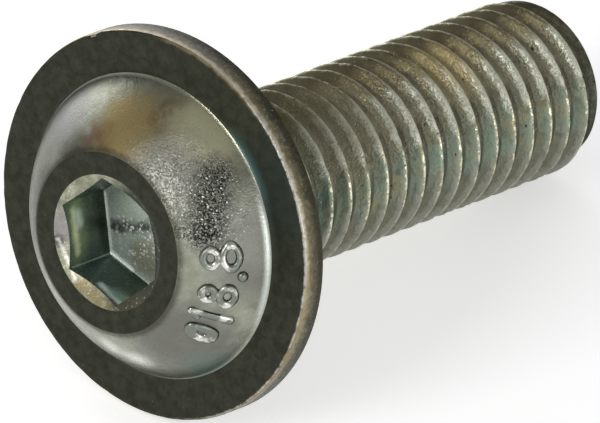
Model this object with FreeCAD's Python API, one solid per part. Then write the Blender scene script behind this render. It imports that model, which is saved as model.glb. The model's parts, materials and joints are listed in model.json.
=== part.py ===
"""Button head screw with a collar and a hexagon socket: M10 coarse thread, 30 mm under the head.

The screw is one forged and rolled piece, so it is one solid. It is built upright, with its axis on Z,
the ring round the socket at Z = 0 and the tip at the top. It is then laid on its side, on the back edge
of its collar and the last crest of its thread, with the tip towards +X. All lengths are in millimetres.
"""
import FreeCAD, Part
import math
import os

from FreeCAD import Matrix, Placement, Rotation, Vector

# Thread: a right-hand helical V. Its crest is at CREST_START pitches on the side where the helix starts
PITCH = 1.5
CREST_DIAMETER = 9.84
ROOT_DIAMETER = 8.16
CREST_START = 0.886
LENGTH_UNDER_HEAD = 30.0
TIP_DIAMETER = 8.2
TIP_CHAMFER_ANGLE = 45.0

# Neck between the head and the thread, and the cone in which the thread fades into it
NECK_DIAMETER = 8.96
NECK_LENGTH = 3.6
RUNOUT_LENGTH = 1.2
RUNOUT_ANGLE = 30.0

# Head
HEAD_HEIGHT = 5.2
COLLAR_DIAMETER = 21.2
COLLAR_THICKNESS = 1.55
COLLAR_BACK_CHAMFER = 0.18
DOME_DIAMETER = 16.6
CROWN_RING_DIAMETER = 9.9

# Hexagon socket
SOCKET_ACROSS_FLATS = 6.03
SOCKET_DEPTH = 3.4
SOCKET_MOUTH_DIAMETER = 7.4
SOCKET_MOUTH_ANGLE = 120.0
SOCKET_TURN = 5.0

# How the screw lies: its turn about its own axis, from the upward side to where the helix starts
LYING_ROLL = -82.1

# Sizes that follow from the ones above
CREST_R = CREST_DIAMETER / 2
ROOT_R = ROOT_DIAMETER / 2
NECK_R = NECK_DIAMETER / 2
COLLAR_R = COLLAR_DIAMETER / 2
DOME_R = DOME_DIAMETER / 2
RING_R = CROWN_RING_DIAMETER / 2
TIP_R = TIP_DIAMETER / 2
COLLAR_TOP = HEAD_HEIGHT - COLLAR_THICKNESS
COLLAR_BACK_EDGE = HEAD_HEIGHT - COLLAR_BACK_CHAMFER
NECK_END = HEAD_HEIGHT + NECK_LENGTH
TIP_Z = HEAD_HEIGHT + LENGTH_UNDER_HEAD
BOOLEAN_MARGIN = 0.05
ENVELOPE_R = CREST_R + BOOLEAN_MARGIN


def point(radius, z):
    """A point of a turned profile, in the XZ plane."""
    return Vector(radius, 0, z)


def polar(radius, degrees, z):
    """A point at an angle about the axis."""
    angle = math.radians(degrees)
    return Vector(radius * math.cos(angle), radius * math.sin(angle), z)


def cone_run(radial, degrees):
    """How far along the axis a cone at this angle to it takes to change its radius by this much."""
    return radial / math.tan(math.radians(degrees))


def revolved(profile):
    """The solid that a closed half section makes when it is turned about the axis."""
    return Part.Face(profile).revolve(Vector(0, 0, 0), Vector(0, 0, 1), 360)


def dome_arc():
    """The dome's outline, from the ring round the socket to the collar, centred on the screw's axis."""
    centre = (DOME_R ** 2 - RING_R ** 2 + COLLAR_TOP ** 2) / (2 * COLLAR_TOP)
    radius = math.hypot(RING_R, centre)
    lean = (math.atan2(RING_R, centre) + math.atan2(DOME_R, centre - COLLAR_TOP)) / 2
    middle = point(radius * math.sin(lean), centre - radius * math.cos(lean))
    return Part.Arc(point(RING_R, 0), middle, point(DOME_R, COLLAR_TOP))


def head_and_neck():
    """The head before its socket is cut, with the neck and the cone in which the thread fades out."""
    runout_end = NECK_END + RUNOUT_LENGTH
    corners = [point(DOME_R, COLLAR_TOP), point(COLLAR_R, COLLAR_TOP), point(COLLAR_R, COLLAR_BACK_EDGE),
               point(COLLAR_R - COLLAR_BACK_CHAMFER, HEAD_HEIGHT), point(NECK_R, HEAD_HEIGHT),
               point(NECK_R, NECK_END), point(ROOT_R - BOOLEAN_MARGIN, runout_end),
               point(0, runout_end), point(0, 0), point(RING_R, 0)]
    edges = [dome_arc()] + [Part.LineSegment(a, b) for a, b in zip(corners, corners[1:])]
    return revolved(Part.Wire([edge.toShape() for edge in edges]))


def thread_envelope():
    """The turned space that the thread fills, from the neck to the chamfered tip."""
    full = point(ENVELOPE_R, NECK_END + cone_run(ENVELOPE_R - NECK_R, RUNOUT_ANGLE))
    chamfer = point(ENVELOPE_R, TIP_Z - cone_run(ENVELOPE_R - TIP_R, TIP_CHAMFER_ANGLE))
    corners = [point(0, NECK_END), point(NECK_R, NECK_END), full, chamfer, point(TIP_R, TIP_Z),
               point(0, TIP_Z)]
    return revolved(Part.makePolygon(corners + corners[:1]))


def helix_turn(radius, z):
    """One turn of a helix of the thread's pitch, which starts on the X side of the axis."""
    edge = Part.makeHelix(PITCH, PITCH, radius).Edges[0]
    edge.translate(Vector(0, 0, z))
    return edge


def rod_end(crest, z):
    """The two faces that close the threaded rod over one turn of its crest."""
    ruled = Part.makeRuledSurface(crest, Part.makeLine(point(0, z), point(0, z + PITCH)))
    corners = [point(0, z), point(CREST_R, z), point(ROOT_R, z + PITCH / 2), point(CREST_R, z + PITCH),
               point(0, z + PITCH)]
    return [ruled, Part.Face(Part.makePolygon(corners + corners[:1]))]


def threaded_rod():
    """A rod of the thread's own form, longer than the thread at both ends."""
    first = PITCH * (math.floor(NECK_END / PITCH) - 2 + CREST_START)
    turns = math.ceil((TIP_Z - first) / PITCH)
    crests = [helix_turn(CREST_R, first + PITCH * k) for k in range(turns + 1)]
    faces = rod_end(crests[0], first) + rod_end(crests[-1], first + PITCH * turns)
    for k in range(turns):
        root = helix_turn(ROOT_R, first + PITCH * (k + 0.5))
        faces += [Part.makeRuledSurface(crests[k], root), Part.makeRuledSurface(root, crests[k + 1])]
    rod = Part.makeCompound(faces)
    rod.sewShape()
    return Part.makeSolid(rod.Shells[0])


def hexagon_socket():
    """The cutter for the socket: a hexagonal prism, and the cone of its mouth."""
    corner_r = SOCKET_ACROSS_FLATS / math.sqrt(3)
    corners = [polar(corner_r, SOCKET_TURN + 60 * k, -BOOLEAN_MARGIN) for k in range(7)]
    prism = Part.Face(Part.makePolygon(corners)).extrude(Vector(0, 0, SOCKET_DEPTH + BOOLEAN_MARGIN))
    mouth_r = SOCKET_MOUTH_DIAMETER / 2
    depth = cone_run(mouth_r, SOCKET_MOUTH_ANGLE / 2)
    outer_r = mouth_r * (depth + BOOLEAN_MARGIN) / depth
    cone = Part.makeCone(outer_r, 0, depth + BOOLEAN_MARGIN, Vector(0, 0, -BOOLEAN_MARGIN))
    return prism.fuse(cone)


def upright_screw():
    """The whole screw with its axis on Z."""
    thread = threaded_rod().common(thread_envelope())
    return head_and_neck().fuse(thread).cut(hexagon_socket())


def last_crest(degrees):
    """The last whole point of the crest at an angle about the axis, as a radius and a height."""
    chamfer = TIP_Z - cone_run(CREST_R - TIP_R, TIP_CHAMFER_ANGLE)
    phase = CREST_START + degrees / 360
    return point(CREST_R, PITCH * (math.floor(chamfer / PITCH - phase) + phase))


def lying_tilt():
    """How far the axis dips towards the tip when the screw lies on its collar and its last crest."""
    crest = last_crest(180 - LYING_ROLL)
    return math.atan2(COLLAR_R - crest.x, crest.z - COLLAR_BACK_EDGE)


def laid_down(screw):
    """The screw on its side, its tip towards +X, its box centred on X and Y and standing on Z = 0."""
    tilt = lying_tilt()
    along = Vector(math.cos(tilt), 0, -math.sin(tilt))
    upward = Vector(math.sin(tilt), 0, math.cos(tilt))
    side = along.cross(upward)
    roll = math.radians(LYING_ROLL)
    first = upward * math.cos(roll) + side * math.sin(roll)
    second = along.cross(first)
    turn = Matrix(first.x, second.x, along.x, 0,
                  first.y, second.y, along.y, 0,
                  first.z, second.z, along.z, 0)
    lying = screw.copy()
    lying.Placement = Placement(Vector(0, 0, 0), Rotation(turn)).multiply(screw.Placement)
    box = lying.optimalBoundingBox(False)
    lying.translate(Vector(-(box.XMin + box.XMax) / 2, -(box.YMin + box.YMax) / 2, -box.ZMin))
    return lying


def main():
    """Builds the screw and writes it as one STEP file."""
    os.makedirs("parts", exist_ok=True)
    screw = laid_down(upright_screw())
    solid = screw.Solids[0]
    print("solids", len(screw.Solids), "valid", solid.isValid(), "volume", round(solid.Volume, 2))
    print("tilt", round(math.degrees(lying_tilt()), 3), "box", solid.optimalBoundingBox(False))
    solid.exportStep("parts/screw.step")


main()
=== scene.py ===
"""Looks of a round head screw with a collar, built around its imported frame.

The screw is shaped upright and in millimetres: its axis is Z, the ring round the socket lies at Z = 0,
the tip is at the top and a corner of the hexagon is on +X. It is then laid where the frame's mounts say.
Tones are written as display values of 0 to 255.
"""

import json
import logging
import math
from collections.abc import Callable, Sequence
from dataclasses import KW_ONLY, dataclass, field
from enum import Enum

import bmesh
import bpy
from mathutils import Matrix, Vector, noise


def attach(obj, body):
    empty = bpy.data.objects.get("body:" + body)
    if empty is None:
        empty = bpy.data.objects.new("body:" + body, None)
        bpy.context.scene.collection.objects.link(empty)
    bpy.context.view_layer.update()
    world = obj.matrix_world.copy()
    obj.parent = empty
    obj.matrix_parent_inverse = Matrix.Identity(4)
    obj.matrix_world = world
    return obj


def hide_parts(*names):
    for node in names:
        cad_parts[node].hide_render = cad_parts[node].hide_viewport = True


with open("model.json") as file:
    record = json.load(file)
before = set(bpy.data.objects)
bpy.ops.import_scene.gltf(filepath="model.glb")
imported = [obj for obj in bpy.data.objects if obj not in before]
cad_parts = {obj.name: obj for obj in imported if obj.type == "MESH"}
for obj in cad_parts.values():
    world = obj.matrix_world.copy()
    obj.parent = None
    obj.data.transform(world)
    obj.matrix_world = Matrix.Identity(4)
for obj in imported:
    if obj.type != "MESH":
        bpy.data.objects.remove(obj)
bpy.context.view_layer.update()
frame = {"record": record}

log = logging.getLogger("screw")
MILLIMETRE = 0.001

# Detail and roughness of the finishes' noises, the range they are spread over, and the scales of their grain
CLOUD_NOISE = (5.0, 0.6)
SKIN_NOISE = (4.0, 0.65)
EDGE_NOISE = (4.0, 0.6)
BAND_NOISE = (5.0, 0.65)
NOISE_RANGE = (0.3, 0.7)
SPECK_WARP = (0.12, 0.12, 0.12)
SPECK_WARP_SCALE = 6.0
SPECK_WARP_DETAIL = 2.0
SIDE_GRAIN = 1.1
RING_LINE_GRAIN = 2.6
BAND_GRAIN = 3.0

Tone = tuple[int, int, int]
Place = tuple[float, float, float]
Ring = Callable[[float], Vector]
Mesh = bmesh.types.BMesh
Edges = list[bmesh.types.BMEdge]
Material = bpy.types.Material
Piece = bpy.types.Object
Tree = bpy.types.NodeTree
Socket = bpy.types.NodeSocket
Input = bpy.types.NodeSocket | float | Sequence[float]


class Surface(Enum):
    """The screw's surfaces that are finished apart, in the order of its material slots."""

    COLLAR = 0
    DOME = 1
    RIM = 2
    MOUTH = 3
    SOCKET = 4
    THREAD = 5


def from_srgb(tone: Tone) -> Place:
    """A linear colour from display values of 0 to 255."""
    parts = [part / 255.0 for part in tone]
    return tuple(p / 12.92 if p <= 0.04045 else ((p + 0.055) / 1.055) ** 2.4 for p in parts)


def smooth_least(a: float, b: float, blend: float) -> float:
    """The lesser of two values, with the corner between them rounded over a length."""
    reach = max(blend - abs(a - b), 0.0) / blend
    return min(a, b) - reach * reach * blend / 4.0


def smooth_most(a: float, b: float, blend: float) -> float:
    """The greater of two values, with the corner between them rounded over a length."""
    return -smooth_least(-a, -b, blend)


def noise_above(point: Vector, scale: float, level: float = 0.0, shift: float = 0.0) -> float:
    """How far a noise of a scale, moved along X, stands above a level at a point."""
    return max(0.0, noise.noise(point * scale + Vector((shift, 0.0, 0.0))) - level)


def polar(radius: float, angle: float, z: float) -> Vector:
    """A point at an angle in radians about the axis."""
    return Vector((radius * math.cos(angle), radius * math.sin(angle), z))


def stretch(start: float, end: float, steps: int) -> list[float]:
    """Even values from a start to an end, both included."""
    return [start + (end - start) * k / steps for k in range(steps + 1)]


def arc(centre: Vector, radius: float, start: float, end: float, steps: int) -> list[Vector]:
    """Points of an arc in the XZ plane.

    Args:
        centre: the arc's centre.
        radius: its radius.
        start: the first point's angle in degrees, from +X towards +Z.
        end: the last point's angle in degrees.
        steps: the number of stretches between the points.

    Returns:
        The points, both ends included.
    """
    angles = [math.radians(degrees) for degrees in stretch(start, end, steps)]
    return [centre + Vector((radius * math.cos(a), 0.0, radius * math.sin(a))) for a in angles]


def link(name: str, data: bpy.types.ID) -> Piece:
    """Adds an object with this data to the scene."""
    made = bpy.data.objects.new(name, data)
    bpy.context.scene.collection.objects.link(made)
    return made


def chain(bm: Mesh, points: Sequence[Vector], closed: bool = False) -> list:
    """Adds a line through points to a mesh.

    Args:
        bm: the mesh.
        points: the line's points.
        closed: whether the last point is joined to the first.

    Returns:
        The line's vertices and edges.
    """
    verts = [bm.verts.new(point) for point in points]
    ends = verts[1:] + verts[:1] if closed else verts[1:]
    return verts + [bm.edges.new(pair) for pair in zip(verts, ends)]


@dataclass(frozen=True)
class LyingPose:
    """How the screw lies, worked out from the frame's mounts."""

    ring_centre: Vector
    along: Vector
    roll_degrees: float = -77.1

    @classmethod
    def from_record(cls, record: dict) -> "LyingPose":
        """Reads the socket's place and the thread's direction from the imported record."""
        mounts = {mount["name"]: mount for mount in record["mounts"]}
        return cls(Vector(mounts["hexagon_socket"]["pos_m"]), Vector(mounts["thread"]["axis"]).normalized())

    def matrix(self) -> Matrix:
        """The matrix from the upright screw in millimetres to the row frame in metres."""
        side = self.along.cross(Vector((0.0, 0.0, 1.0))).normalized()
        upward = side.cross(self.along)
        roll = math.radians(self.roll_degrees)
        corner = upward * math.cos(roll) + side * math.sin(roll)
        turn = Matrix((corner, self.along.cross(corner), self.along)).transposed().to_4x4()
        return Matrix.Translation(self.ring_centre) @ turn @ Matrix.Scale(MILLIMETRE, 4)


def lay_piece(name: str, bm: Mesh, pose: LyingPose,
              materials: Sequence[Material]) -> Piece:
    """Lays a finished shape where the screw lies, as one piece.

    Args:
        name: the piece's name.
        bm: its shape on the upright screw, which is used up.
        pose: how the screw lies.
        materials: the piece's material slots.

    Returns:
        The piece, at the origin and with its place in its mesh.
    """
    for face in bm.faces:
        face.smooth = True
    bmesh.ops.transform(bm, matrix=pose.matrix(), verts=bm.verts)
    mesh = bpy.data.meshes.new(name)
    bm.to_mesh(mesh)
    log.info("%s: %d faces, %d open edges", name, len(bm.faces), sum(edge.is_boundary for edge in bm.edges))
    bm.free()
    for material in materials:
        mesh.materials.append(material)
    return link(name, mesh)


@dataclass
class HeadForm:
    """The domed head and its collar, as a turned profile."""

    ring_radius: float = 4.95
    dome_radius: float = 8.3
    collar_top: float = 3.65
    collar_radius: float = 10.6
    bearing_face: float = 5.2
    bearing_middle: float = 7.6
    back_chamfer: float = 0.18
    front_round: float = 0.14
    ring_round: float = 0.12
    ring_edge: tuple[float, float] = (0.2, 0.14)
    foot_round: float = 0.22
    foot_edge: tuple[float, float] = (0.05, 0.3)
    foot_lead: float = 1.3
    neck_radius: float = 4.48
    neck_fillet: float = 0.5
    neck_joint: float = 6.6
    dome_steps: int = 40
    flat_steps: int = 8
    front_steps: int = 4
    short_steps: int = 5

    def dome_circle(self) -> tuple[float, float]:
        """Height of the centre of the dome's arc on the axis, and its radius."""
        rise = self.collar_top
        centre = (self.dome_radius ** 2 - self.ring_radius ** 2 + rise ** 2) / (2.0 * rise)
        return centre, math.hypot(self.ring_radius, centre)

    def on_dome(self, lean: float, angle: float, proud: float = 0.0) -> Vector:
        """A point of the dome, by its lean from the axis and its angle about it, in radians."""
        centre, radius = self.dome_circle()
        return polar((radius + proud) * math.sin(lean), angle, centre - (radius + proud) * math.cos(lean))

    def dome(self) -> list[Vector]:
        """The dome's arc, between the round of the ring's edge and the round of the dome's foot."""
        centre, radius = self.dome_circle()
        first = math.degrees(math.asin(self.ring_radius / radius)) + math.degrees(self.ring_round / radius)
        last = math.degrees(math.asin(self.dome_radius / radius)) - self.foot_lead
        return arc(Vector((0.0, 0.0, centre)), radius, first - 90.0, last - 90.0, self.dome_steps)

    def collar(self) -> list[Vector]:
        """The collar's outline, from its flat front face over its rim to the middle of the bearing face."""
        front = self.collar_top + self.front_round
        flat_end = self.collar_radius - self.front_round
        flat = stretch(self.dome_radius + self.foot_round, flat_end, self.flat_steps)
        edge = arc(Vector((flat_end, 0.0, front)), self.front_round, -90, 0, self.front_steps)
        rim = stretch(front, self.bearing_face - self.back_chamfer, self.short_steps)
        under = (self.collar_radius - self.back_chamfer, self.collar_radius - 3 * self.back_chamfer,
                 self.bearing_middle)
        return ([Vector((x, 0.0, self.collar_top)) for x in flat] + edge[1:]
                + [Vector((self.collar_radius, 0.0, z)) for z in rim[1:]]
                + [Vector((x, 0.0, self.bearing_face)) for x in under])

    def profile(self, mouth_radius: float) -> list[Vector]:
        """The head's outline from the socket's mouth to the neck.

        Args:
            mouth_radius: where the flat ring round the socket begins.

        Returns:
            The outline's points in the XZ plane.
        """
        flat = stretch(mouth_radius, self.ring_radius - self.ring_round, self.short_steps)
        (inwards, down), (outwards, up) = self.ring_edge, self.foot_edge
        edge = Vector((self.ring_radius - self.ring_round * inwards, 0.0, self.ring_round * down))
        foot = Vector((self.dome_radius + self.foot_round * outwards, 0.0,
                       self.collar_top - self.foot_round * up))
        hub = Vector((self.neck_radius + self.neck_fillet, 0.0, self.bearing_face + self.neck_fillet))
        fillet = arc(hub, self.neck_fillet, 270.0, 180.0, self.short_steps)
        return ([Vector((x, 0.0, 0.0)) for x in flat] + [edge] + self.dome() + [foot] + self.collar()
                + fillet + [Vector((self.neck_radius, 0.0, self.neck_joint))])


@dataclass
class SocketForm:
    """The blind hexagon and its chamfered mouth."""

    across_flats: float = 6.03
    depth: float = 3.4
    mouth_radius: float = 3.7
    mouth_slope: float = 60.0
    wall_rows: int = 6
    floor_round: float = 0.14
    floor_bend: float = 0.3
    floor_rings: tuple[float, ...] = (1.0, 0.9, 0.7, 0.5, 0.3, 0.12)

    def wall_radius(self, angle: float) -> float:
        """How far the hexagon's wall is from the axis at an angle in radians."""
        sixth = math.radians(60.0)
        off = (angle % sixth) - sixth / 2.0
        return self.across_flats / 2.0 / math.cos(off)

    def mouth_depth(self, angle: float) -> float:
        """How deep the mouth's cone meets the hexagon's wall at an angle."""
        return (self.mouth_radius - self.wall_radius(angle)) / math.tan(math.radians(self.mouth_slope))

    def wall_depth(self, angle: float, share: float) -> float:
        """The depth at a share of the way down a wall, from the mouth to the floor's round."""
        top = self.mouth_depth(angle)
        return top + (self.depth - self.floor_round - top) * share

    def wall(self, share: float) -> Ring:
        """A ring of the walls, at a share of the way down."""
        return lambda angle: polar(self.wall_radius(angle), angle, self.wall_depth(angle, share))

    def inside(self, inset: float, depth: float, share: float = 1.0) -> Ring:
        """A ring of the floor or its round, set in from the walls."""
        return lambda angle: polar((self.wall_radius(angle) - inset) * share, angle, depth)

    def rows(self) -> list[Ring]:
        """The socket's rings below its mouth, each as a function from an angle to a point."""
        bend = self.floor_round * self.floor_bend
        walls = [self.wall(share) for share in stretch(0.0, 1.0, self.wall_rows)]
        floor = [self.inside(self.floor_round, self.depth, share) for share in self.floor_rings]
        return walls + [self.inside(bend, self.depth - bend)] + floor


@dataclass
class ThreadForm:
    """The rolled thread with its run-out at the neck and its chamfered tip."""

    pitch: float = 1.5
    crest_radius: float = 4.91
    root_radius: float = 4.08
    crest_flat: float = 0.16
    crest_blend: float = 0.14
    root_blend: float = 0.34
    flank_slope: float = math.tan(math.radians(60.0))
    crest_phase: float = 0.9
    neck_radius: float = 4.48
    neck_end: float = 8.8
    runout_length: float = 1.2
    runout_slope: float = math.tan(math.radians(30.0))
    runout_blend: float = 0.05
    end_reach: float = 2.0
    tip: float = 35.2
    tip_radius: float = 4.1
    tip_blend: float = 0.55
    tip_blend_least: float = 0.1
    tip_round_reach: float = 0.7
    rows_per_pitch: int = 18
    dish_depth: float = 0.12
    dish_rings: tuple[tuple[float, float], ...] = (
        (0.93, 0.0), (0.86, 0.35), (0.7, 0.8), (0.5, 1.0), (0.3, 1.0), (0.12, 0.9))

    def form_radius(self, turn: float) -> float:
        """The thread's radius at a share of its pitch from the middle of a crest."""
        off = abs(turn - round(turn)) * self.pitch
        flank = self.crest_radius - (off - self.crest_flat / 2.0) * self.flank_slope
        crest = smooth_least(flank, self.crest_radius, self.crest_blend)
        return smooth_most(crest, self.root_radius, self.root_blend)

    def radius_at(self, angle: float, z: float) -> float:
        """The shank's radius at an angle in radians and a height."""
        radius = self.form_radius(z / self.pitch - self.crest_phase - angle / math.tau)
        past = max(z - self.neck_end, 0.0)
        if past < self.end_reach:
            radius = smooth_least(radius, self.neck_radius + past * self.runout_slope, self.runout_blend)
        if past < self.runout_length:
            fallen = past / self.runout_length * (self.neck_radius - self.root_radius)
            radius = max(radius, self.neck_radius - fallen)
        left = max(self.tip - z, 0.0)
        if left >= self.end_reach:
            return radius
        blend = self.tip_blend * min(max(left / self.tip_round_reach, self.tip_blend_least), 1.0)
        return smooth_least(radius, self.tip_radius + left, blend)

    def height_share(self, radius: float) -> float:
        """How high a radius stands between the thread's root and its crest, from 0 to 1."""
        return (radius - self.root_radius) / (self.crest_radius - self.root_radius)

    def dish_ring(self, share: float, deep: float) -> Ring:
        """A ring of the end face, by its share of the radius and its share of the dish's depth."""
        return lambda angle: polar(self.tip_radius * share, angle, self.tip - self.dish_depth * deep)

    def dish(self) -> list[Ring]:
        """The rings of the tip's end face, which is slightly dished."""
        return [self.dish_ring(share, deep) for share, deep in self.dish_rings]


@dataclass
class WearForm:
    """Dents, nicks and unevenness of the worn screw, which only take material away."""

    nick_angles: tuple[float, ...] = (43.8, -172.9)
    nick_widths: tuple[float, ...] = (2.6, 1.6)
    nick_depths: tuple[float, ...] = (0.11, 0.12)
    rim_roughness: tuple[float, float] = (0.05, 0.02)
    rim_scales: tuple[float, float] = (34.0, 90.0)
    rim_reach: float = 0.45
    rim_inwards: float = 0.7
    rim_backwards: float = 0.5
    face_waviness: float = 0.012
    face_scale: float = 0.55
    pitted_centre: Place = (-3.7, 4.9, 1.2)
    pitted_radius: float = 3.4
    pit_depth: float = 0.05
    pit_scale: float = 2.1
    pit_level: float = -0.2
    crest_roughness: float = 0.1
    crest_scale: float = 0.9
    crest_level: float = 0.05
    crest_start: float = 0.45
    nick_roughness: float = 0.22
    nick_scale: float = 2.6
    nick_level: float = 0.2
    nick_shift: float = 7.0

    def rim_cut(self, angle: float) -> float:
        """How much the collar's front edge is set back at an angle in radians."""
        spot = Vector((math.cos(angle), math.sin(angle), 0.0))
        (coarse, fine), (broad, narrow) = self.rim_roughness, self.rim_scales
        cut = coarse * noise_above(spot, broad) + fine * noise_above(spot, narrow)
        for at, width, depth in zip(self.nick_angles, self.nick_widths, self.nick_depths):
            off = (math.degrees(angle) - at + 180.0) % 360.0 - 180.0
            cut += depth * max(0.0, 1.0 - (off / width) ** 2)
        return cut

    def face_wave(self, point: Vector) -> float:
        """How much a turned face is set back at a point."""
        return abs(noise.noise(point * self.face_scale) * self.face_waviness)

    def dome_pit(self, point: Vector) -> float:
        """How deep the dome is pitted at a point."""
        apart = (point - Vector(self.pitted_centre)).length
        near = max(0.0, 1.0 - (apart / self.pitted_radius) ** 2)
        return near * self.pit_depth * noise_above(point, self.pit_scale, self.pit_level)

    def crest_cut(self, point: Vector) -> float:
        """How much a thread crest is worn away at a point."""
        coarse = noise_above(point, self.crest_scale, self.crest_level) * self.crest_roughness
        fine = noise_above(point, self.nick_scale, self.nick_level, self.nick_shift) * self.nick_roughness
        return coarse + fine


@dataclass
class ScrewBody:
    """The whole screw as one closed mesh: head, socket, neck, thread and tip."""

    pose: LyingPose
    head: HeadForm = field(default_factory=HeadForm)
    socket: SocketForm = field(default_factory=SocketForm)
    thread: ThreadForm = field(default_factory=ThreadForm)
    wear: WearForm = field(default_factory=WearForm)
    steps: int = 168
    sharp_angle: float = 40.0
    merge_reach: float = 0.002
    sliver: float = 0.0005
    touching: float = 0.001
    near: float = 0.01
    margin: float = 0.02
    rim_start: float = 0.05
    foot_margin: float = 0.1
    face_reach: float = 0.2
    loop_reach: float = 0.25
    end_face_share: float = 0.97

    def angle_of(self, point: Vector) -> float:
        """The exact angle of the angular step that a point is on, in radians."""
        column = round(math.atan2(point.y, point.x) / math.tau * self.steps) % self.steps
        return column * math.tau / self.steps

    def spin(self, bm: Mesh, line: list, rise: float = 0.0) -> None:
        """Turns a line once about the axis: into a closed form, or into a helical one if it rises."""
        bmesh.ops.spin(bm, geom=line, cent=(0, 0, 0), axis=(0, 0, 1), angle=math.tau, dvec=(0, 0, rise),
                       steps=self.steps, use_merge=not rise)

    def boundary(self, bm: Mesh, radius: float, z: float) -> Edges:
        """The open edges that lie on a circle about the axis, or close to it."""
        level = {vert for vert in bm.verts if abs(vert.co.z - z) < self.near
                 and abs(math.hypot(vert.co.x, vert.co.y) - radius) < self.loop_reach}
        return [edge for edge in bm.edges if edge.is_boundary and level.issuperset(edge.verts)]

    def add_rings(self, bm: Mesh, edges: Edges, rows: list[Ring]) -> None:
        """Extrudes an open loop ring by ring and closes the last ring on its middle.

        Args:
            bm: the mesh.
            edges: the open loop.
            rows: the rings, each as a function from an angle to a point.
        """
        for row in rows:
            made = bmesh.ops.extrude_edge_only(bm, edges=edges)["geom"]
            edges = [item for item in made if isinstance(item, bmesh.types.BMEdge) and item.is_boundary]
            for vert in {vert for edge in edges for vert in edge.verts}:
                vert.co = row(self.angle_of(vert.co))
        last = list({vert for edge in edges for vert in edge.verts})
        middle = sum((vert.co for vert in last), Vector()) / len(last)
        made = bmesh.ops.extrude_edge_only(bm, edges=edges)["geom"]
        inner = [item for item in made if isinstance(item, bmesh.types.BMVert)]
        bmesh.ops.pointmerge(bm, verts=inner, merge_co=middle)

    def wind_thread(self, bm: Mesh) -> None:
        """Winds a line of thread rows once round the shank, a pitch higher at its end than at its start.

        Each row then meets the row of the next turn, and the whole is trimmed to the neck and the tip.

        Args:
            bm: the mesh, which has the head already.
        """
        form, joint = self.thread, self.head.neck_joint
        root_phase = form.crest_phase - 0.5
        first = form.pitch * (math.floor(joint / form.pitch - root_phase) - 1 + root_phase)
        rows = math.ceil((form.tip - first) / form.pitch) * form.rows_per_pitch
        rise = form.pitch / form.rows_per_pitch
        before = set(bm.verts)
        line = chain(bm, [Vector((form.root_radius, 0.0, first + rise * k)) for k in range(rows + 1)])
        self.spin(bm, line, form.pitch / self.steps)
        for vert in set(bm.verts) - before:
            angle, z = self.angle_of(vert.co), min(max(vert.co.z, joint), form.tip)
            radius = form.radius_at(angle, z)
            high = max(0.0, form.height_share(radius) - self.wear.crest_start)
            if z >= joint + self.near:
                radius -= self.wear.crest_cut(polar(radius, angle, z)) * high
            vert.co = polar(radius, angle, z)

    def wear_head(self, bm: Mesh) -> None:
        """Roughens the collar's front edge and makes the turned faces slightly uneven."""
        head, wear, front = self.head, self.wear, self.head.collar_top
        edge = head.collar_radius - self.margin
        for vert in bm.verts:
            radius, z = math.hypot(vert.co.x, vert.co.y), vert.co.z
            if z > head.bearing_face + self.near or radius < self.socket.mouth_radius + self.near:
                continue
            if radius > edge - head.front_round and z < front + wear.rim_reach:
                angle = math.atan2(vert.co.y, vert.co.x)
                share = max(0.0, 1.0 - (z - front) / wear.rim_reach)
                cut = wear.rim_cut(angle) * share
                vert.co = polar(radius - cut * wear.rim_inwards, angle, z + cut * wear.rim_backwards * share)
            elif radius < edge and z <= front + self.touching:
                vert.co.z += wear.face_wave(vert.co)
                if head.ring_radius < radius < head.dome_radius - self.foot_margin:
                    inward = (Vector((0.0, 0.0, head.dome_circle()[0])) - vert.co).normalized()
                    vert.co += inward * wear.dome_pit(vert.co)

    def surface_of(self, face: bmesh.types.BMFace) -> Surface:
        """Which surface a face belongs to. The tip's end face is finished like the collar."""
        head, middle = self.head, face.calc_center_median()
        radius = math.hypot(middle.x, middle.y)
        end_face_radius = self.thread.tip_radius * self.end_face_share
        if middle.z > self.thread.tip - self.face_reach and radius < end_face_radius:
            return Surface.COLLAR
        if middle.z > head.bearing_face + self.face_reach:
            return Surface.THREAD
        if radius < self.socket.mouth_radius - self.touching:
            mouth_depth = self.socket.mouth_depth(math.atan2(middle.y, middle.x))
            return Surface.MOUTH if middle.z < mouth_depth - self.margin else Surface.SOCKET
        if radius < head.ring_radius - head.ring_round / 2.0:
            return Surface.COLLAR
        if radius < head.dome_radius + self.foot_margin and middle.z < head.collar_top:
            return Surface.DOME
        return Surface.COLLAR if middle.z < head.collar_top + self.rim_start else Surface.RIM

    def build(self, finishes: dict[Surface, Material]) -> Piece:
        """Makes the screw's mesh, lays it in the frame and dresses it.

        Args:
            finishes: a material for each surface, which holds its finish and its painted light.

        Returns:
            The finished object.
        """
        bm = bmesh.new()
        self.spin(bm, chain(bm, self.head.profile(self.socket.mouth_radius)))
        self.add_rings(bm, self.boundary(bm, self.socket.mouth_radius, 0.0), self.socket.rows())
        self.wear_head(bm)
        self.wind_thread(bm)
        bmesh.ops.remove_doubles(bm, verts=bm.verts, dist=self.merge_reach)
        bmesh.ops.dissolve_degenerate(bm, dist=self.sliver, edges=bm.edges)
        tip_loop = self.boundary(bm, self.thread.tip_radius, self.thread.tip)
        self.add_rings(bm, tip_loop, self.thread.dish())
        bmesh.ops.recalc_face_normals(bm, faces=bm.faces)
        for face in bm.faces:
            face.material_index = self.surface_of(face).value
        piece = lay_piece("screw_body", bm, self.pose, [finishes[surface] for surface in Surface])
        piece.data.set_sharp_from_angle(angle=math.radians(self.sharp_angle))
        return piece


class Figure(Enum):
    """What stands on the dome."""

    ZERO = "zero"
    ONE = "one"
    EIGHT = "eight"
    POINT = "point"


@dataclass(frozen=True)
class Glyph:
    """One raised figure: its angle about the axis in degrees, its size and how far it is moved out."""

    figure: Figure
    angle: float
    tall: float = 0.0
    wide: float = 0.0
    outwards: float = 0.0


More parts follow.
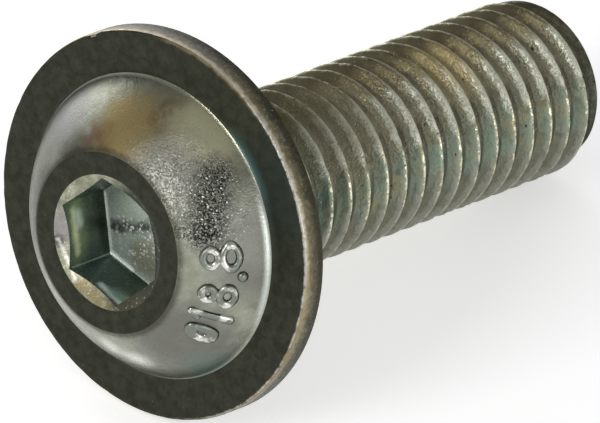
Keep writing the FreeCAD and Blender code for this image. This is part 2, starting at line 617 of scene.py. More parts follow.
@dataclass
class RaisedDigits:
    """Plain raised digits on the dome, forged with the head."""

    pose: LyingPose
    head: HeadForm
    stroke: float = 0.5
    proud: float = 0.18
    sunk: float = 0.05
    flat: float = 1e-6
    middle_radius: float = 6.72
    ring_steps: int = 44
    section_steps: int = 8
    ball_steps: tuple[int, int] = (20, 12)
    straight_share: float = 0.35
    flag_reach: float = 0.3
    flag_stroke: float = 0.85
    loop_heights: tuple[float, float] = (0.56, 0.52)
    upper_width: float = 0.86
    point_radius: float = 0.6
    glyphs: tuple[Glyph, ...] = (
        Glyph(Figure.ZERO, angle=195.2, tall=1.95, wide=1.22),
        Glyph(Figure.ONE, angle=184.4, tall=2.1),
        Glyph(Figure.EIGHT, angle=172.9, tall=2.25, wide=1.42),
        Glyph(Figure.POINT, angle=163.4, outwards=0.75),
        Glyph(Figure.EIGHT, angle=154.6, tall=2.35, wide=1.72))

    def ring(self, bm: Mesh, width: float, height: float, up: float = 0.0) -> list:
        """An oval ring of half-round section, flat on the XY plane."""
        half = self.stroke / 2.0
        outline = [Vector((width / 2.0 - half + half * math.cos(a), 0.0, half * math.sin(a)))
                   for a in (math.pi * k / self.section_steps for k in range(self.section_steps + 1))]
        before = set(bm.verts)
        bmesh.ops.spin(bm, geom=chain(bm, outline, closed=True), cent=(0, 0, 0), axis=(0, 0, 1),
                       angle=math.tau, steps=self.ring_steps, use_merge=True)
        made = list(set(bm.verts) - before)
        longer = height - width
        for vert in made:
            side = max(-1.0, min(1.0, vert.co.y / (width * self.straight_share)))
            vert.co.y += longer / 2.0 * side
        bmesh.ops.translate(bm, verts=made, vec=(0.0, up, 0.0))
        return made

    def ball(self, bm: Mesh, radius: float) -> list:
        """A ball on the origin."""
        around, along = self.ball_steps
        return bmesh.ops.create_uvsphere(bm, u_segments=around, v_segments=along, radius=radius)["verts"]

    def bar(self, bm: Mesh, start: Vector, end: Vector, stroke: float) -> list:
        """A bar with round ends between two points of the XY plane."""
        made = self.ball(bm, stroke / 2.0)
        reach = end - start
        for vert in made:
            vert.co.x += reach.length / 2.0 * (1.0 if vert.co.x > 0.0 else -1.0)
        turn = Matrix.Rotation(math.atan2(reach.y, reach.x), 4, "Z")
        bmesh.ops.transform(bm, matrix=Matrix.Translation((start + end) / 2.0) @ turn, verts=made)
        return made

    def one(self, bm: Mesh, tall: float) -> list:
        """A figure one: an upright bar and a short flag."""
        foot, top = Vector((0.0, -tall / 2, 0.0)), Vector((0.0, tall / 2, 0.0))
        flag = Vector((-self.flag_reach, tall / 3, 0.0))
        return self.bar(bm, foot, top, self.stroke) + self.bar(bm, top, flag, self.stroke * self.flag_stroke)

    def eight(self, bm: Mesh, tall: float, wide: float) -> list:
        """A figure eight of two rings, the upper one smaller."""
        lower, upper = (tall * share for share in self.loop_heights)
        made = self.ring(bm, wide, lower, (lower - tall) / 2.0)
        return made + self.ring(bm, wide * self.upper_width, upper, (tall - upper) / 2.0)

    def shape(self, bm: Mesh, glyph: Glyph) -> list:
        """The points of a raised figure, flat on the XY plane."""
        if glyph.figure is Figure.ZERO:
            return self.ring(bm, glyph.wide, glyph.tall)
        if glyph.figure is Figure.ONE:
            return self.one(bm, glyph.tall)
        if glyph.figure is Figure.EIGHT:
            return self.eight(bm, glyph.tall, glyph.wide)
        return self.ball(bm, self.stroke * self.point_radius)

    def lay(self, verts: list, angle: float, radius: float) -> None:
        """Bends a flat digit onto the dome, its top towards the socket.

        Args:
            verts: the digit's points, with X along the reading direction and Y upwards.
            angle: the digit's place about the axis, in degrees.
            radius: the digit's distance from the axis.
        """
        _, dome = self.head.dome_circle()
        lean = math.asin(radius / dome)
        for vert in verts:
            x, y, z = vert.co
            high = z / (self.stroke / 2.0) * self.proud - (self.sunk if z < self.flat else 0.0)
            vert.co = self.head.on_dome(lean - y / dome, math.radians(angle) - x / radius, high)

    def build(self, finish: Material) -> Piece:
        """Makes the digits as one piece that stands on the dome."""
        bm = bmesh.new()
        for glyph in self.glyphs:
            self.lay(self.shape(bm, glyph), glyph.angle, self.middle_radius + glyph.outwards)
        bmesh.ops.recalc_face_normals(bm, faces=bm.faces)
        return lay_piece("raised_digits", bm, self.pose, [finish])


class NodeBench:
    """Short calls for laying out shader nodes in one tree."""

    def __init__(self, tree: Tree) -> None:
        """Takes the tree that the nodes go into."""
        self.tree = tree

    def add(self, kind: str, settings: dict | None = None, **sockets: Input) -> bpy.types.Node:
        """Adds a node.

        Args:
            kind: the node's type name, without its ShaderNode prefix.
            settings: the node's own properties.
            **sockets: values or output sockets for its inputs, by name, with spaces as underscores.

        Returns:
            The node.
        """
        node = self.tree.nodes.new("ShaderNode" + kind)
        for name, value in (settings or {}).items():
            setattr(node, name, value)
        for name, value in sockets.items():
            self.feed(node.inputs[name.replace("_", " ")], value)
        return node

    def feed(self, socket: Socket, value: Input) -> None:
        """Links an output socket to an input, or sets the input's value."""
        if isinstance(value, Socket):
            self.tree.links.new(value, socket)
        elif socket.type == "RGBA" and len(value) == 3:
            socket.default_value = (*value, 1.0)
        else:
            socket.default_value = value

    def math(self, operation: str, first: Input, second: Input = 0.0, clamp: bool = False) -> Socket:
        """The output of a Math node."""
        node = self.add("Math", {"operation": operation, "use_clamp": clamp})
        self.feed(node.inputs[0], first)
        self.feed(node.inputs[1], second)
        return node.outputs[0]

    def vector(self, operation: str, *values: Input) -> bpy.types.NodeOutputs:
        """The outputs of a Vector Math node."""
        node = self.add("VectorMath", {"operation": operation})
        for socket, value in zip(node.inputs, values):
            self.feed(socket, value)
        return node.outputs

    def ramp(self, value: Input, low: Input, high: Input, to_low: Input = 0.0,
             to_high: Input = 1.0) -> Socket:
        """A value mapped smoothly from one range to another.

        Args:
            value: the value.
            low: where its range starts.
            high: where its range ends.
            to_low: the result at and before the start.
            to_high: the result at and past the end.

        Returns:
            The result.
        """
        return self.add("MapRange", {"interpolation_type": "SMOOTHSTEP"}, Value=value, From_Min=low,
                        From_Max=high, To_Min=to_low, To_Max=to_high).outputs["Result"]

    def mix(self, mask: Input, first: Input, second: Input) -> Socket:
        """Two colours mixed by a mask."""
        node = self.add("Mix", {"data_type": "RGBA"})
        for number, value in ((0, mask), (6, first), (7, second)):
            self.feed(node.inputs[number], value)
        return node.outputs[2]

    def blend(self, mask: Input, first: Input, second: Input) -> Socket:
        """Two values mixed by a mask."""
        node = self.add("Mix", {"data_type": "FLOAT"})
        for number, value in ((0, mask), (2, first), (3, second)):
            self.feed(node.inputs[number], value)
        return node.outputs[0]

    def noise(self, position: Input, scale: Input, detail: float, rough: float) -> Socket:
        """The value of a Noise texture."""
        node = self.add("TexNoise", Vector=position, Scale=scale, Detail=detail, Roughness=rough)
        return node.outputs["Fac"]

    def wander(self, position: Input, scale: Input, amount: Input,
               kind: tuple[float, float] = EDGE_NOISE) -> Socket:
        """A noise about zero, which makes a limit ragged.

        Args:
            position: where the noise is read.
            scale: the noise's scale.
            amount: how far it reaches.
            kind: its detail and roughness.

        Returns:
            The noise's value.
        """
        cloud = self.noise(position, scale, *kind)
        return self.math("MULTIPLY", self.math("SUBTRACT", cloud, 0.5), amount)


class SharedEffects:
    """The node groups that more than one finish uses, each made once."""

    def __init__(self) -> None:
        """Builds the groups."""
        self.patch = self.patch_group()
        self.streak = self.streak_group()
        self.specks = self.specks_group()
        self.grain = self.grain_group()
        self.mottle = self.mottle_group()
        self.polar = self.polar_group()
        self.ring_line = self.ring_line_group()
        self.side = self.side_group()

    @staticmethod
    def new_group(name: str, vectors: tuple[str, ...], values: tuple[str, ...] = (),
                  outputs: tuple[str, ...] = ("Mask",)) -> tuple:
        """Makes an empty node group.

        Args:
            name: the group's name.
            vectors: the names of its vector inputs.
            values: the names of its value inputs.
            outputs: the names of its outputs, which are values.

        Returns:
            Its bench, what it is given and what it puts out.
        """
        group = bpy.data.node_groups.new(name, "ShaderNodeTree")
        for labels, direction, kind in ((vectors, "INPUT", "Vector"), (values, "INPUT", "Float"),
                                        (outputs, "OUTPUT", "Float")):
            for label in labels:
                group.interface.new_socket(name=label, in_out=direction, socket_type="NodeSocket" + kind)
        entry, leave = group.nodes.new("NodeGroupInput"), group.nodes.new("NodeGroupOutput")
        return NodeBench(group), entry.outputs, leave.inputs

    def patch_group(self) -> Tree:
        """A ragged round patch about a point: 1 inside, 0 outside."""
        values = ("Radius", "Softness", "Ragged", "Grain")
        bench, given, out = self.new_group("patch", ("Position", "Centre"), values)
        apart = bench.vector("DISTANCE", given["Position"], given["Centre"])["Value"]
        shift = bench.wander(given["Position"], given["Grain"], given["Ragged"])
        inner = bench.math("SUBTRACT", given["Radius"], given["Softness"])
        outer = bench.math("ADD", given["Radius"], given["Softness"])
        bench.feed(out["Mask"], bench.ramp(bench.math("ADD", apart, shift), inner, outer, 1.0, 0.0))
        return bench.tree

    def streak_group(self) -> Tree:
        """A ragged stroke along a straight line: 1 inside, 0 outside."""
        values = ("Radius", "Softness", "Ragged", "Grain")
        bench, given, out = self.new_group("streak", ("Position", "Start", "Reach"), values)
        position, start, reach = given["Position"], given["Start"], given["Reach"]
        apart = bench.vector("SUBTRACT", position, start)["Vector"]
        passed = bench.vector("DOT_PRODUCT", apart, reach)["Value"]
        share = bench.math("DIVIDE", passed, bench.vector("DOT_PRODUCT", reach, reach)["Value"], clamp=True)
        step = bench.add("VectorMath", {"operation": "SCALE"}, Vector=reach, Scale=share).outputs["Vector"]
        nearest = bench.vector("ADD", start, step)["Vector"]
        patch = bench.add("Group", {"node_tree": self.patch}, Position=position, Centre=nearest,
                          **{name: given[name] for name in values})
        bench.feed(out["Mask"], patch.outputs["Mask"])
        return bench.tree

    def specks_group(self) -> Tree:
        """Small scattered specks: 1 in a speck, 0 between them."""
        bench, given, out = self.new_group("specks", ("Position",), ("Scale", "Share", "Size"))
        warp = bench.add("TexNoise", Vector=given["Position"], Scale=SPECK_WARP_SCALE,
                         Detail=SPECK_WARP_DETAIL).outputs["Color"]
        moved = bench.vector("MULTIPLY_ADD", warp, SPECK_WARP, given["Position"])["Vector"]
        cells = bench.add("TexVoronoi", Vector=moved, Scale=given["Scale"])
        chance = bench.add("SeparateColor", Color=cells.outputs["Color"])
        size = bench.math("MULTIPLY", given["Size"], chance.outputs["Green"])
        near = bench.ramp(cells.outputs["Distance"], 0.0, size, 1.0, 0.0)
        chosen = bench.math("LESS_THAN", chance.outputs["Red"], given["Share"])
        bench.feed(out["Mask"], bench.math("MULTIPLY", near, chosen))
        return bench.tree

    def grain_group(self) -> Tree:
        """Cloudy tone and the fine uneven skin of plated, forged steel."""
        bench, given, out = self.new_group("grain", ("Position",), ("Coarse", "Fine"), ("Cloud", "Skin"))
        cloud = bench.noise(given["Position"], given["Coarse"], *CLOUD_NOISE)
        bench.feed(out["Cloud"], bench.ramp(cloud, *NOISE_RANGE))
        bench.feed(out["Skin"], bench.noise(given["Position"], given["Fine"], *SKIN_NOISE))
        return bench.tree

    def mottle_group(self) -> Tree:
        """The part of a fine noise that lies above a level: 1 above it, 0 below."""
        bench, given, out = self.new_group("mottle", ("Position",), ("Scale", "Level", "Spread"))
        cloud = bench.noise(given["Position"], given["Scale"], *CLOUD_NOISE)
        low = bench.math("SUBTRACT", given["Level"], given["Spread"])
        high = bench.math("ADD", given["Level"], given["Spread"])
        bench.feed(out["Mask"], bench.ramp(cloud, low, high))
        return bench.tree

    def polar_group(self) -> Tree:
        """A point's distance from the screw's axis and its height along it."""
        bench, given, out = self.new_group("polar", ("Position",), outputs=("Radius", "Height"))
        flat = bench.vector("MULTIPLY", given["Position"], (1.0, 1.0, 0.0))["Vector"]
        bench.feed(out["Radius"], bench.vector("LENGTH", flat)["Value"])
        bench.feed(out["Height"], bench.add("SeparateXYZ", Vector=given["Position"]).outputs["Z"])
        return bench.tree

    def side_group(self) -> Tree:
        """A strip along the screw about a direction from its axis: 1 inside, 0 outside."""
        bench, given, out = self.new_group("side", ("Position", "Direction"), ("Low", "High", "Ragged"))
        place = bench.add("Group", {"node_tree": self.polar}, Position=given["Position"])
        along = bench.vector("DOT_PRODUCT", given["Position"], given["Direction"])["Value"]
        cosine = bench.math("DIVIDE", along, place.outputs["Radius"])
        shift = bench.wander(given["Position"], SIDE_GRAIN, given["Ragged"])
        bench.feed(out["Mask"], bench.ramp(bench.math("ADD", cosine, shift), given["Low"], given["High"]))
        return bench.tree

    def ring_line_group(self) -> Tree:
        """A ragged line along a circle about the axis: 1 on it, 0 a width away."""
        values = ("Radius", "Height", "Width", "Ragged")
        bench, given, out = self.new_group("ring_line", ("Position",), values)
        place = bench.add("Group", {"node_tree": self.polar}, Position=given["Position"]).outputs
        outward = bench.math("SUBTRACT", place["Radius"], given["Radius"])
        upward = bench.math("SUBTRACT", place["Height"], given["Height"])
        squares = [bench.math("MULTIPLY", part, part) for part in (outward, upward)]
        away = bench.math("SQRT", bench.math("ADD", *squares))
        shift = bench.wander(given["Position"], RING_LINE_GRAIN, given["Ragged"], SKIN_NOISE)
        near = bench.ramp(bench.math("ADD", away, shift), 0.0, given["Width"])
        bench.feed(out["Mask"], bench.math("SUBTRACT", 1.0, near))
        return bench.tree


class FinishBench(NodeBench):
    """A bench for one finish and its painted light, with the shared effects and the place on the upright
    screw.
    """

    def __init__(self, tree: Tree, effects: SharedEffects, pose: LyingPose) -> None:
        """Turns Object coordinates back into the upright screw's own millimetres."""
        super().__init__(tree)
        self.effects = effects
        matrix, place = pose.matrix(), self.add("TexCoord").outputs["Object"]
        place = self.add("Mapping", {"vector_type": "TEXTURE"}, Vector=place, Scale=matrix.to_scale(),
                         Location=matrix.to_translation(), Rotation=matrix.to_euler())
        self.position = place.outputs["Vector"]

    def effect(self, group: Tree, **values: Input) -> bpy.types.NodeOutputs:
        """The outputs of a shared effect at the screw's own place."""
        return self.add("Group", {"node_tree": group}, Position=self.position, **values).outputs


@dataclass(frozen=True)
class Spot:
    """A ragged round area, by a point of the upright screw in millimetres."""

    centre: Place
    radius: float
    softness: float = 0.5
    ragged: float = 1.2
    grain: float = 1.4

    def mask(self, bench: FinishBench) -> Socket:
        """The area's mask: 1 inside and 0 outside."""
        return bench.effect(bench.effects.patch, Centre=self.centre, Radius=self.radius,
                            Softness=self.softness, Ragged=self.ragged, Grain=self.grain)["Mask"]


@dataclass(frozen=True)
class Streak:
    """A ragged stroke between two points of the upright screw in millimetres."""

    start: Place
    end: Place
    radius: float
    softness: float = 0.1
    ragged: float = 0.1
    grain: float = 2.0

    def mask(self, bench: FinishBench) -> Socket:
        """The stroke's mask: 1 inside and 0 outside."""
        reach = Vector(self.end) - Vector(self.start)
        return bench.effect(bench.effects.streak, Start=self.start, Reach=reach, Radius=self.radius,
                            Softness=self.softness, Ragged=self.ragged, Grain=self.grain)["Mask"]


@dataclass(frozen=True)
class Side:
    """A ragged strip along the screw, by its angle about the axis and its half widths in degrees."""

    angle: float
    inner: float
    outer: float
    ragged: float = 0.12

    def mask(self, bench: FinishBench) -> Socket:
        """The strip's mask: 1 inside and 0 outside."""
        low, high = math.cos(math.radians(self.outer)), math.cos(math.radians(self.inner))
        return bench.effect(bench.effects.side, Direction=polar(1.0, math.radians(self.angle), 0.0),
                            Low=low, High=high, Ragged=self.ragged)["Mask"]


@dataclass(frozen=True)
class StainAndPaintedLight:
    """A change of tone and skin in an area, or everywhere where no area is given. It serves both for stains
    and for painted highlights, reflections and shade.
    """

    tone: Tone
    strength: float
    _: KW_ONLY
    depth: float = 0.0
    rough: float | None = None
    area: Spot | Streak | Side | None = None

    def shape(self, bench: FinishBench) -> Socket | float:
        """The mark's own pattern, before its area limits it."""
        return 1.0

    def mask(self, bench: FinishBench) -> Socket:
        """The mark's pattern within its area."""
        area = self.area.mask(bench) if self.area else 1.0
        return bench.math("MULTIPLY", area, self.shape(bench))


@dataclass(frozen=True, kw_only=True)
class Specks(StainAndPaintedLight):
    """Scattered specks or pits, also used for painted glints and sparkles."""

    scale: float
    share: float
    size: float

    def shape(self, bench: FinishBench) -> Socket:
        """The specks' mask."""
        return bench.effect(bench.effects.specks, Scale=self.scale, Share=self.share, Size=self.size)["Mask"]


@dataclass(frozen=True, kw_only=True)
class Mottle(StainAndPaintedLight):
    """A cloudy or crusty pattern: the part of a noise that lies above a level."""

    scale: float
    level: float = 0.5
    spread: float = 0.1

    def shape(self, bench: FinishBench) -> Socket:
        """The pattern's mask."""
        return bench.effect(bench.effects.mottle, Scale=self.scale, Level=self.level,
                            Spread=self.spread)["Mask"]


@dataclass(frozen=True, kw_only=True)
class RingLine(StainAndPaintedLight):
    """A line along a turned edge, round the whole screw unless an area limits it."""

    radius: float
    height: float
    width: float
    ragged: float = 0.3

    def shape(self, bench: FinishBench) -> Socket:
        """The line's mask."""
        return bench.effect(bench.effects.ring_line, Radius=self.radius, Height=self.height,
                            Width=self.width, Ragged=self.ragged)["Mask"]


@dataclass(frozen=True, kw_only=True)
class RadialBand(StainAndPaintedLight):
    """The part of a surface past a distance from the axis, outwards or inwards, with a ragged limit."""

    start: float
    full: float
    ragged: float = 0.0

    def shape(self, bench: FinishBench) -> Socket:
        """The band's mask."""
        radius = bench.effect(bench.effects.polar)["Radius"]
        if self.ragged:
            shift = bench.wander(bench.position, BAND_GRAIN, self.ragged, BAND_NOISE)
            radius = bench.math("ADD", radius, shift)
        return bench.ramp(radius, self.start, self.full)


@dataclass(frozen=True, kw_only=True)
class HeightBand(StainAndPaintedLight):
    """The part of a surface that lies past a height along the axis, with a soft limit."""

    start: float
    full: float

    def shape(self, bench: FinishBench) -> Socket:
        """The band's mask."""
        return bench.ramp(bench.effect(bench.effects.polar)["Height"], self.start, self.full)


@dataclass(frozen=True, kw_only=True)
class ProudBand(StainAndPaintedLight):
    """What stands out from the dome by more than a height."""

    start: float
    full: float

    def shape(self, bench: FinishBench) -> Socket:
        """The mask of what stands out."""
        centre, radius = HeadForm().dome_circle()
        away = bench.vector("DISTANCE", bench.position, (0.0, 0.0, centre))["Value"]
        return bench.ramp(away, radius + self.start, radius + self.full)


@dataclass(frozen=True, kw_only=True)
class FinishAndPaintedLight:
    """One finish of the plated steel with its painted light: its tones, its skin and its marks, some of
    which are painted highlights, reflections and shade.
    """

    name: str
    light: Tone
    dark: Tone
    rough: tuple[float, float]
    bump: float
    marks: tuple[StainAndPaintedLight, ...]
    coarse: float = 0.5
    fine: float = 9.0
    metallic: float = 1.0
    depth_scale: float = 0.06 * MILLIMETRE

    def build(self, pose: LyingPose, effects: SharedEffects) -> Material:
        """Makes the finish as a material.

        Args:
            pose: how the screw lies.
            effects: the shared node groups.

        Returns:
            The material.
        """
        material = bpy.data.materials.new(self.name)
        material.use_nodes = True
        tree = material.node_tree
        tree.nodes.clear()
        bench = FinishBench(tree, effects, pose)
        grain = bench.effect(effects.grain, Coarse=self.coarse, Fine=self.fine)
        colour = bench.mix(grain["Cloud"], from_srgb(self.dark), from_srgb(self.light))
        rough = bench.ramp(grain["Skin"], *NOISE_RANGE, *self.rough)
        height = grain["Skin"]
        for mark in self.marks:
            mask = mark.mask(bench)
            part = bench.math("MULTIPLY", mask, mark.strength)
            colour = bench.mix(part, colour, from_srgb(mark.tone))
            if mark.depth:
                height = bench.math("SUBTRACT", height, bench.math("MULTIPLY", mask, mark.depth))
            if mark.rough is not None:
                rough = bench.blend(part, rough, mark.rough)
        bump = bench.add("Bump", Height=height, Strength=self.bump, Distance=self.depth_scale)
        shader = bench.add("BsdfPrincipled", Base_Color=colour, Metallic=self.metallic, Roughness=rough,
                           Normal=bump.outputs["Normal"])
        bench.add("OutputMaterial", Surface=shader.outputs["BSDF"])
        return material


GLINT = (240, 240, 232)
# Tone of painted highlight lines on edges and of painted glint specks.
PAINTED_SHEEN = (208, 206, 196)
PIT = (34, 31, 27)
SOOT = (44, 42, 39)
TEAL = (66, 92, 90)

# The collar's front face, the ring round the socket and the tip's end face. Their dark base tones are a
# painted dark reflection.
COLLAR_FINISH_AND_PAINTED_LIGHT = FinishAndPaintedLight(
    name="face_plating_and_painted_light", light=(62, 63, 53), dark=(48, 50, 40), rough=(0.4, 0.55), bump=0.3, coarse=1.6,
    fine=6.0,
    marks=(
        Mottle((42, 42, 36), 0.4, scale=3.5, level=0.58, spread=0.06),
        Specks((134, 130, 114), 0.6, scale=1.9, share=0.35, size=0.12, depth=-0.5),
        Specks((92, 88, 74), 0.5, scale=4.5, share=0.3, size=0.22),
        StainAndPaintedLight((44, 54, 50), 0.5, rough=0.3, area=Spot((-6.2, 6.6, 3.65), 2.6, 1.6)),
        # Teal line along the dome's foot: a painted reflection.
        RingLine(TEAL, 0.6, radius=8.45, height=3.65, width=0.55, ragged=0.2, rough=0.35,
                 area=Spot((-4.6, 7.4, 3.65), 1.9, 1.2, ragged=0.6)),
        # Light lines along the collar's rounded front edge: painted highlights.
        RingLine(PAINTED_SHEEN, 0.7, radius=10.55, height=3.65, width=0.12, ragged=0.3, depth=-0.5,
                 area=Spot((-8.0, 2.0, 3.6), 10.0, 2.5, ragged=3.0, grain=0.5)),
        RingLine((150, 134, 100), 0.6, radius=10.55, height=3.65, width=0.26, ragged=0.4,
                 area=Spot((0.0, 10.6, 3.6), 3.4, 1.0)),
        # Light line on the rounded outer edge of the ring round the socket: a painted highlight.
        RingLine((150, 146, 130), 0.5, radius=5.0, height=0.0, width=0.05, ragged=0.2),
    ))

DOME_FINISH_AND_PAINTED_LIGHT = FinishAndPaintedLight(
    name="dome_plating_and_painted_light", light=(164, 166, 152), dark=(138, 140, 124), rough=(0.26, 0.38), bump=0.4,
    coarse=1.1, fine=7.0,
    marks=(
        StainAndPaintedLight((136, 137, 133), 0.9, rough=0.4, area=Spot((6.6, 3.4, 2.0), 2.2, 1.0)),
        # Dark olive patch beside the ring: a painted dark reflection.
        StainAndPaintedLight((60, 61, 48), 0.9, area=Spot((3.6, 3.0, -0.1), 1.3, 0.9, ragged=0.8)),
        StainAndPaintedLight((88, 84, 64), 0.75, area=Spot((1.8, 4.9, 0.2), 1.0, 0.8, ragged=0.8)),
        StainAndPaintedLight((150, 146, 114), 0.8, area=Spot((1.2, 6.4, 1.4), 2.3, 1.0)),
        StainAndPaintedLight((178, 158, 108), 0.85, area=Spot((1.9, 5.9, 1.1), 1.9, 0.8, ragged=1.5)),
        Mottle((106, 78, 56), 0.7, scale=1.6, level=0.42, spread=0.22, area=Spot((3.0, 4.5, 0.4), 1.0, 0.7)),
        Mottle((112, 84, 56), 0.75, scale=2.0, level=0.46, spread=0.16,
               area=Spot((0.2, 7.3, 2.4), 1.2, 0.7)),
        # Bright cream patch near the dome's foot: a painted highlight.
        StainAndPaintedLight((220, 218, 180), 0.85, area=Spot((-1.6, 7.6, 2.9), 2.0, 0.9)),
        StainAndPaintedLight((152, 152, 143), 0.8, area=Spot((-1.7, 5.4, 0.5), 2.2, 1.2)),
        StainAndPaintedLight((108, 108, 103), 0.8, rough=0.4, area=Spot((-7.2, 3.4, 3.0), 2.6, 1.2)),
        StainAndPaintedLight((104, 104, 99), 0.8, area=Spot((-5.4, -2.6, 1.4), 2.8, 1.2)),
        # Teal tone near the foot on the dome's underside, lightened as a painted reflection of the floor.
        # The two glints beside it are a painted reflection of the floor too.
        StainAndPaintedLight((112, 132, 124), 0.8, rough=0.35, area=Spot((-6.8, -4.8, 3.3), 1.6, 1.0)),
        StainAndPaintedLight(GLINT, 0.8, rough=0.22, area=Spot((-3.3, -5.9, 1.5), 0.7, 0.6, ragged=0.4)),
        StainAndPaintedLight(GLINT, 0.7, rough=0.22, area=Spot((-1.8, -5.9, 1.0), 0.6, 0.6, ragged=0.4)),
        StainAndPaintedLight((132, 134, 126), 0.8, rough=0.22,
              area=Streak((-3.4, 6.3, 2.0), (-4.9, 3.7, 1.0), 1.0, 0.6, ragged=1.4)),
        Mottle(PIT, 0.95, scale=8.5, level=0.48, spread=0.04, depth=0.9,
               area=Streak((-3.6, 6.2, 2.0), (-4.9, 3.9, 1.1), 0.9, 0.7, ragged=1.0)),
        Mottle(PIT, 0.9, scale=8.5, level=0.5, spread=0.05, depth=0.8,
               area=Streak((-5.0, 3.9, 1.1), (-4.0, 3.4, 0.4), 0.4, 0.5, ragged=1.0)),
        Mottle((84, 82, 74), 0.6, scale=9.5, level=0.54, spread=0.05, depth=0.7,
               area=Spot((-2.2, 5.0, 0.5), 2.3, 1.2)),
        Specks(GLINT, 0.95, scale=6.5, share=0.6, size=0.5, depth=-0.9, rough=0.2,
               area=Spot((-1.6, 4.9, 0.5), 1.9, 1.2)),
        Specks(GLINT, 1.0, scale=6.5, share=0.8, size=0.55, depth=-0.9, rough=0.15,
               area=Spot((-4.4, 4.9, 1.4), 2.0, 0.8)),
        Specks((58, 48, 40), 0.85, scale=2.2, share=0.6, size=0.2, depth=1.2,
               area=Spot((-4.0, -4.4, 0.9), 2.8, 1.2)),
        # Dark band from the ring outwards on one side of the dome: a painted dark reflection.
        RingLine((56, 54, 44), 0.85, radius=5.1, height=0.1, width=3.6, ragged=1.0,
                 area=Spot((5.6, -1.2, 0.8), 3.4, 1.8, ragged=1.0)),
        RingLine((60, 58, 48), 0.7, radius=5.0, height=0.05, width=0.4, ragged=0.3),
        # Light lines along the dome's foot: painted highlights.
        RingLine((168, 170, 150), 0.7, radius=8.2, height=3.5, width=0.14, ragged=0.1, rough=0.25,
                 area=Spot((0.0, 8.0, 3.5), 6.0, 2.0)),
        RingLine(PAINTED_SHEEN, 0.8, radius=8.2, height=3.5, width=0.1, ragged=0.1, rough=0.2,
                 area=Spot((8.6, -2.0, 3.5), 7.0, 2.5)),
        RingLine((206, 214, 206), 0.8, radius=8.15, height=3.45, width=0.3, ragged=0.1, rough=0.25,
                 area=Spot((-7.8, 3.0, 3.5), 3.4, 1.0)),
    ))

# Finish of the raised digits. Its dark base tones, left at the foot of each stroke where it meets the dome,
# are painted shade. The glint mottle on the strokes is painted glints.
DIGIT_FINISH_AND_PAINTED_LIGHT = FinishAndPaintedLight(
    name="digit_plating_and_painted_light", light=(66, 66, 59), dark=(42, 42, 36), rough=(0.28, 0.4), bump=0.3, coarse=2.0,
    fine=3.0,
    marks=(
        ProudBand((122, 127, 119), 1.0, start=0.03, full=0.11),
        Mottle((96, 98, 88), 0.6, scale=1.2, level=0.56, spread=0.08),
        Mottle(GLINT, 0.75, scale=1.2, level=0.56, spread=0.06, rough=0.16),
    ))

RIM_FINISH_AND_PAINTED_LIGHT = FinishAndPaintedLight(
    name="rim_plating_and_painted_light", light=(106, 104, 86), dark=(76, 76, 61), rough=(0.3, 0.5), bump=0.8, coarse=0.9,
    fine=5.0,
    marks=(
        StainAndPaintedLight((112, 112, 110), 0.85, area=Spot((5.5, 9.0, 4.4), 6.0, 2.0, ragged=3.0)),
        Mottle((134, 120, 88), 0.4, scale=1.4, level=0.5, spread=0.12),
        Mottle((176, 170, 144), 0.3, scale=4.0, level=0.58, spread=0.05, depth=-0.4),
        HeightBand((54, 52, 40), 0.85, start=4.2, full=4.8),
        HeightBand((112, 112, 96), 0.7, start=5.12, full=5.19),
        StainAndPaintedLight((62, 63, 53), 0.8, area=Spot((-8.6, -5.6, 4.4), 5.6, 2.0, ragged=2.0)),
        # Light lines on the rim along the collar's rounded front edge: painted highlights.
        RingLine((176, 160, 122), 0.6, radius=10.6, height=3.8, width=0.5, ragged=0.6),
        RingLine((226, 222, 208), 0.9, radius=10.6, height=3.7, width=0.32, ragged=0.55, depth=-0.4,
                 area=Spot((-3.5, 9.8, 3.7), 8.5, 3.0, ragged=2.0)),
        Specks(GLINT, 0.8, scale=3.5, share=0.2, size=0.2, depth=-0.4),
    ))

MOUTH_FINISH_AND_PAINTED_LIGHT = FinishAndPaintedLight(
    name="socket_mouth", light=(176, 177, 156), dark=(124, 125, 104), rough=(0.26, 0.4), bump=0.5,
    coarse=1.8, metallic=0.7,
    marks=(
        StainAndPaintedLight((146, 142, 142), 0.8, area=Spot((3.4, -1.3, 0.25), 1.0, 0.5, ragged=0.8)),
        StainAndPaintedLight(SOOT, 0.85, area=Spot((3.0, -2.1, 0.25), 0.35, 0.2)),
        Mottle((142, 126, 84), 0.8, scale=3.0, level=0.48, spread=0.1,
               area=Spot((-0.4, -3.5, 0.2), 2.2, 0.8)),
        StainAndPaintedLight((58, 54, 38), 0.9, area=Spot((-3.2, -2.2, 0.2), 2.0, 0.7)),
        StainAndPaintedLight((44, 52, 40), 0.95, area=Spot((-2.9, 2.2, 0.2), 3.6, 0.7, ragged=0.6)),
        # Glint streak along the mouth's edge and glint specks: painted highlights and glints.
        StainAndPaintedLight(GLINT, 0.8, rough=0.25,
              area=Streak((3.0, -1.9, 0.15), (1.2, -3.3, 0.15), 0.1, 0.14, ragged=0.4)),
        Specks(GLINT, 0.85, scale=6.5, share=0.6, size=0.42, depth=-0.5),
    ))

